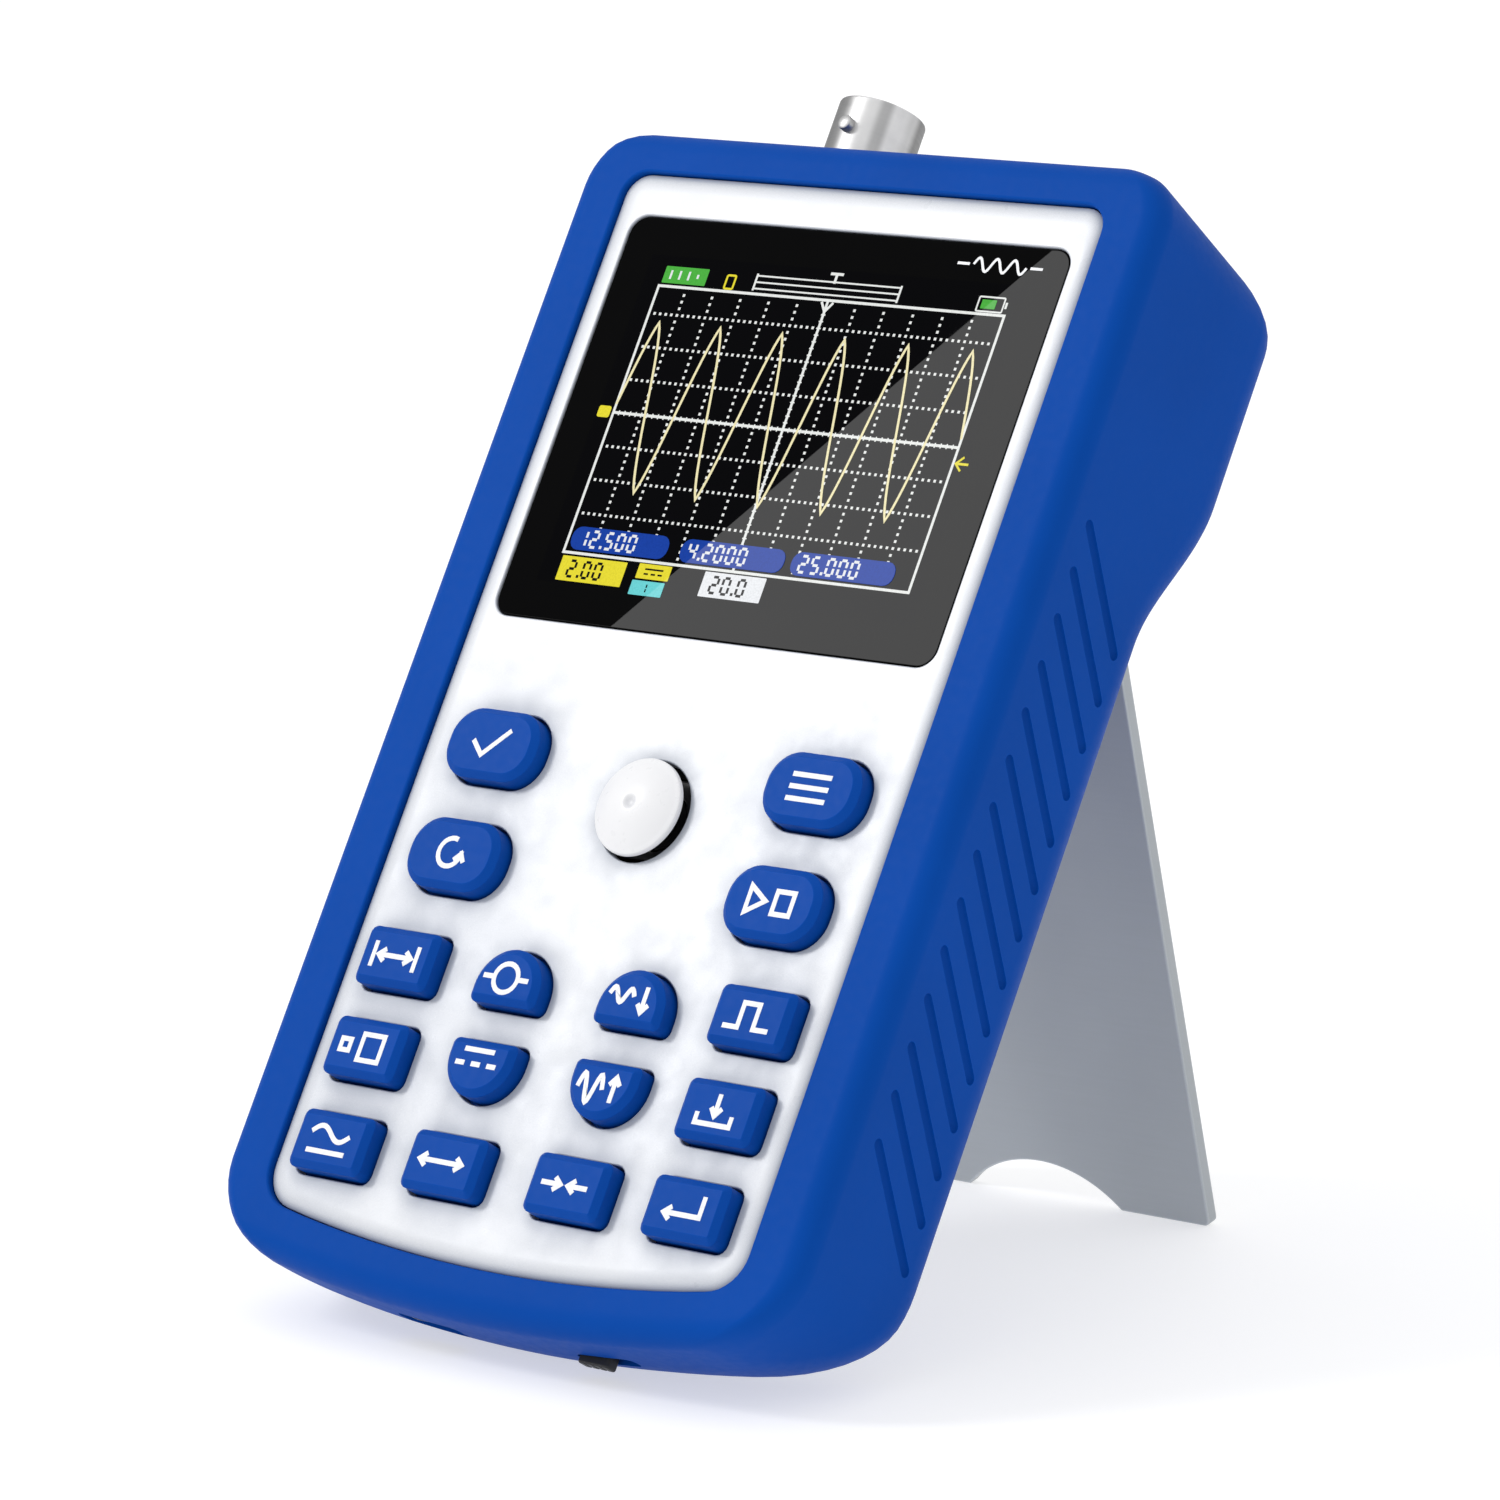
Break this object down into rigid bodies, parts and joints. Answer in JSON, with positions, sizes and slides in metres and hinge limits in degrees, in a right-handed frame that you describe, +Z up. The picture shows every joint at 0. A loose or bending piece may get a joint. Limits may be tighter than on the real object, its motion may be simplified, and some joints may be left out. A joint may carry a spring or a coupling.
{
  "type": "handheld oscilloscope",
  "caption": "Handheld oscilloscope leaning on its open stand: display above a keypad and five-way control, bayonet input socket on top, power switch and charging port below.",
  "frame": {"origin": "middle of the bounding box on the floor plane, with the stand open", "axes": "+Z up, +X to the right as seen from the front, -Y towards the person reading the display"},
  "size_m": [0.089, 0.1094, 0.1393],
  "materials": {
    "blue_plastic": "satin",
    "blue_keys": "satin",
    "white_panel": "satin",
    "white_cap": "semi-gloss",
    "black_glass": "gloss",
    "display_frame": "satin",
    "circuit_board": "satin",
    "contact_sheet": "matte",
    "black_plastic": "satin",
    "nickel": "polished",
    "white_insulator": "matte",
    "gold_contact": "polished",
    "steel": "satin",
    "battery_wrap": "satin",
    "grey_metal": "satin",
    "black_rubber": "matte"
  },
  "bodies": {
    "instrument": {"housing": "blue_plastic", "rear_cover": "blue_plastic", "front_panel": "white_panel", "display_glass": "black_glass", "display_module": "display_frame", "main_board": "circuit_board", "contact_sheet": "contact_sheet", "nav_base": "black_plastic", "socket_block": "black_plastic", "socket_barrel": "nickel", "socket_insulator": "white_insulator", "socket_contact": "gold_contact", "switch_body": "steel", "charging_port": "steel", "port_tongue": "black_plastic", "battery": "battery_wrap", "input_shield": "steel", "processor": "black_plastic", "converter": "black_plastic", "cover_screw_1": "steel", "cover_screw_2": "steel", "cover_screw_3": "steel", "cover_screw_4": "steel", "stand_pin": "steel", "stand_bumper_left": "black_rubber", "stand_bumper_right": "black_rubber"},
    "key_oval_left_1": {"key_oval_left_1": "blue_keys"},
    "key_oval_left_2": {"key_oval_left_2": "blue_keys"},
    "key_oval_right_1": {"key_oval_right_1": "blue_keys"},
    "key_oval_right_2": {"key_oval_right_2": "blue_keys"},
    "key_r1_c1": {"key_r1_c1": "blue_keys"},
    "key_r1_c2": {"key_r1_c2": "blue_keys"},
    "key_r1_c3": {"key_r1_c3": "blue_keys"},
    "key_r1_c4": {"key_r1_c4": "blue_keys"},
    "key_r2_c1": {"key_r2_c1": "blue_keys"},
    "key_r2_c2": {"key_r2_c2": "blue_keys"},
    "key_r2_c3": {"key_r2_c3": "blue_keys"},
    "key_r2_c4": {"key_r2_c4": "blue_keys"},
    "key_r3_c1": {"key_r3_c1": "blue_keys"},
    "key_r3_c2": {"key_r3_c2": "blue_keys"},
    "key_r3_c3": {"key_r3_c3": "blue_keys"},
    "key_r3_c4": {"key_r3_c4": "blue_keys"},
    "nav_ring": {"nav_ring": "black_plastic"},
    "nav_stem": {"nav_stem": "black_plastic"},
    "nav_cap": {"nav_cap": "white_cap"},
    "power_knob": {"switch_knob": "black_plastic"},
    "stand": {"stand_plate": "grey_metal"}
  },
  "joints": [
    {"name": "key_oval_left_1_press", "type": "slide", "parent": "instrument", "child": "key_oval_left_1", "axis": [0, 0.8572, -0.515], "range_m": [0, 0.001], "stiffness_N_per_m": 800},
    {"name": "key_oval_left_2_press", "type": "slide", "parent": "instrument", "child": "key_oval_left_2", "axis": [0, 0.8572, -0.515], "range_m": [0, 0.001], "stiffness_N_per_m": 800},
    {"name": "key_oval_right_1_press", "type": "slide", "parent": "instrument", "child": "key_oval_right_1", "axis": [0, 0.8572, -0.515], "range_m": [0, 0.001], "stiffness_N_per_m": 800},
    {"name": "key_oval_right_2_press", "type": "slide", "parent": "instrument", "child": "key_oval_right_2", "axis": [0, 0.8572, -0.515], "range_m": [0, 0.001], "stiffness_N_per_m": 800},
    {"name": "key_r1_c1_press", "type": "slide", "parent": "instrument", "child": "key_r1_c1", "axis": [0, 0.8572, -0.515], "range_m": [0, 0.001], "stiffness_N_per_m": 800},
    {"name": "key_r1_c2_press", "type": "slide", "parent": "instrument", "child": "key_r1_c2", "axis": [0, 0.8572, -0.515], "range_m": [0, 0.001], "stiffness_N_per_m": 800},
    {"name": "key_r1_c3_press", "type": "slide", "parent": "instrument", "child": "key_r1_c3", "axis": [0, 0.8572, -0.515], "range_m": [0, 0.001], "stiffness_N_per_m": 800},
    {"name": "key_r1_c4_press", "type": "slide", "parent": "instrument", "child": "key_r1_c4", "axis": [0, 0.8572, -0.515], "range_m": [0, 0.001], "stiffness_N_per_m": 800},
    {"name": "key_r2_c1_press", "type": "slide", "parent": "instrument", "child": "key_r2_c1", "axis": [0, 0.8572, -0.515], "range_m": [0, 0.001], "stiffness_N_per_m": 800},
    {"name": "key_r2_c2_press", "type": "slide", "parent": "instrument", "child": "key_r2_c2", "axis": [0, 0.8572, -0.515], "range_m": [0, 0.001], "stiffness_N_per_m": 800},
    {"name": "key_r2_c3_press", "type": "slide", "parent": "instrument", "child": "key_r2_c3", "axis": [0, 0.8572, -0.515], "range_m": [0, 0.001], "stiffness_N_per_m": 800},
    {"name": "key_r2_c4_press", "type": "slide", "parent": "instrument", "child": "key_r2_c4", "axis": [0, 0.8572, -0.515], "range_m": [0, 0.001], "stiffness_N_per_m": 800},
    {"name": "key_r3_c1_press", "type": "slide", "parent": "instrument", "child": "key_r3_c1", "axis": [0, 0.8572, -0.515], "range_m": [0, 0.001], "stiffness_N_per_m": 800},
    {"name": "key_r3_c2_press", "type": "slide", "parent": "instrument", "child": "key_r3_c2", "axis": [0, 0.8572, -0.515], "range_m": [0, 0.001], "stiffness_N_per_m": 800},
    {"name": "key_r3_c3_press", "type": "slide", "parent": "instrument", "child": "key_r3_c3", "axis": [0, 0.8572, -0.515], "range_m": [0, 0.001], "stiffness_N_per_m": 800},
    {"name": "key_r3_c4_press", "type": "slide", "parent": "instrument", "child": "key_r3_c4", "axis": [0, 0.8572, -0.515], "range_m": [0, 0.001], "stiffness_N_per_m": 800},
    {"name": "nav_tilt_up_down", "type": "hinge", "parent": "instrument", "child": "nav_ring", "pos_m": [0, -0.01984, 0.05914], "axis": [1, 0, 0], "range_deg": [-3, 3], "stiffness_Nm_per_rad": 0.05},
    {"name": "nav_tilt_left_right", "type": "hinge", "parent": "nav_ring", "child": "nav_stem", "pos_m": [0, -0.01984, 0.05914], "axis": [0, 0.515, 0.8572], "range_deg": [-3, 3], "stiffness_Nm_per_rad": 0.05},
    {"name": "nav_press", "type": "slide", "parent": "nav_stem", "child": "nav_cap", "axis": [0, 0.8572, -0.515], "range_m": [0, 0.0005], "stiffness_N_per_m": 2000},
    {"name": "power_slide", "type": "slide", "parent": "instrument", "child": "power_knob", "axis": [1, 0, 0], "range_m": [0, 0.003]},
    {"name": "stand_swing", "type": "hinge", "parent": "instrument", "child": "stand", "pos_m": [0, 0.0299, 0.0961], "axis": [-1, 0, 0], "range_deg": [0, 45]}
  ]
}
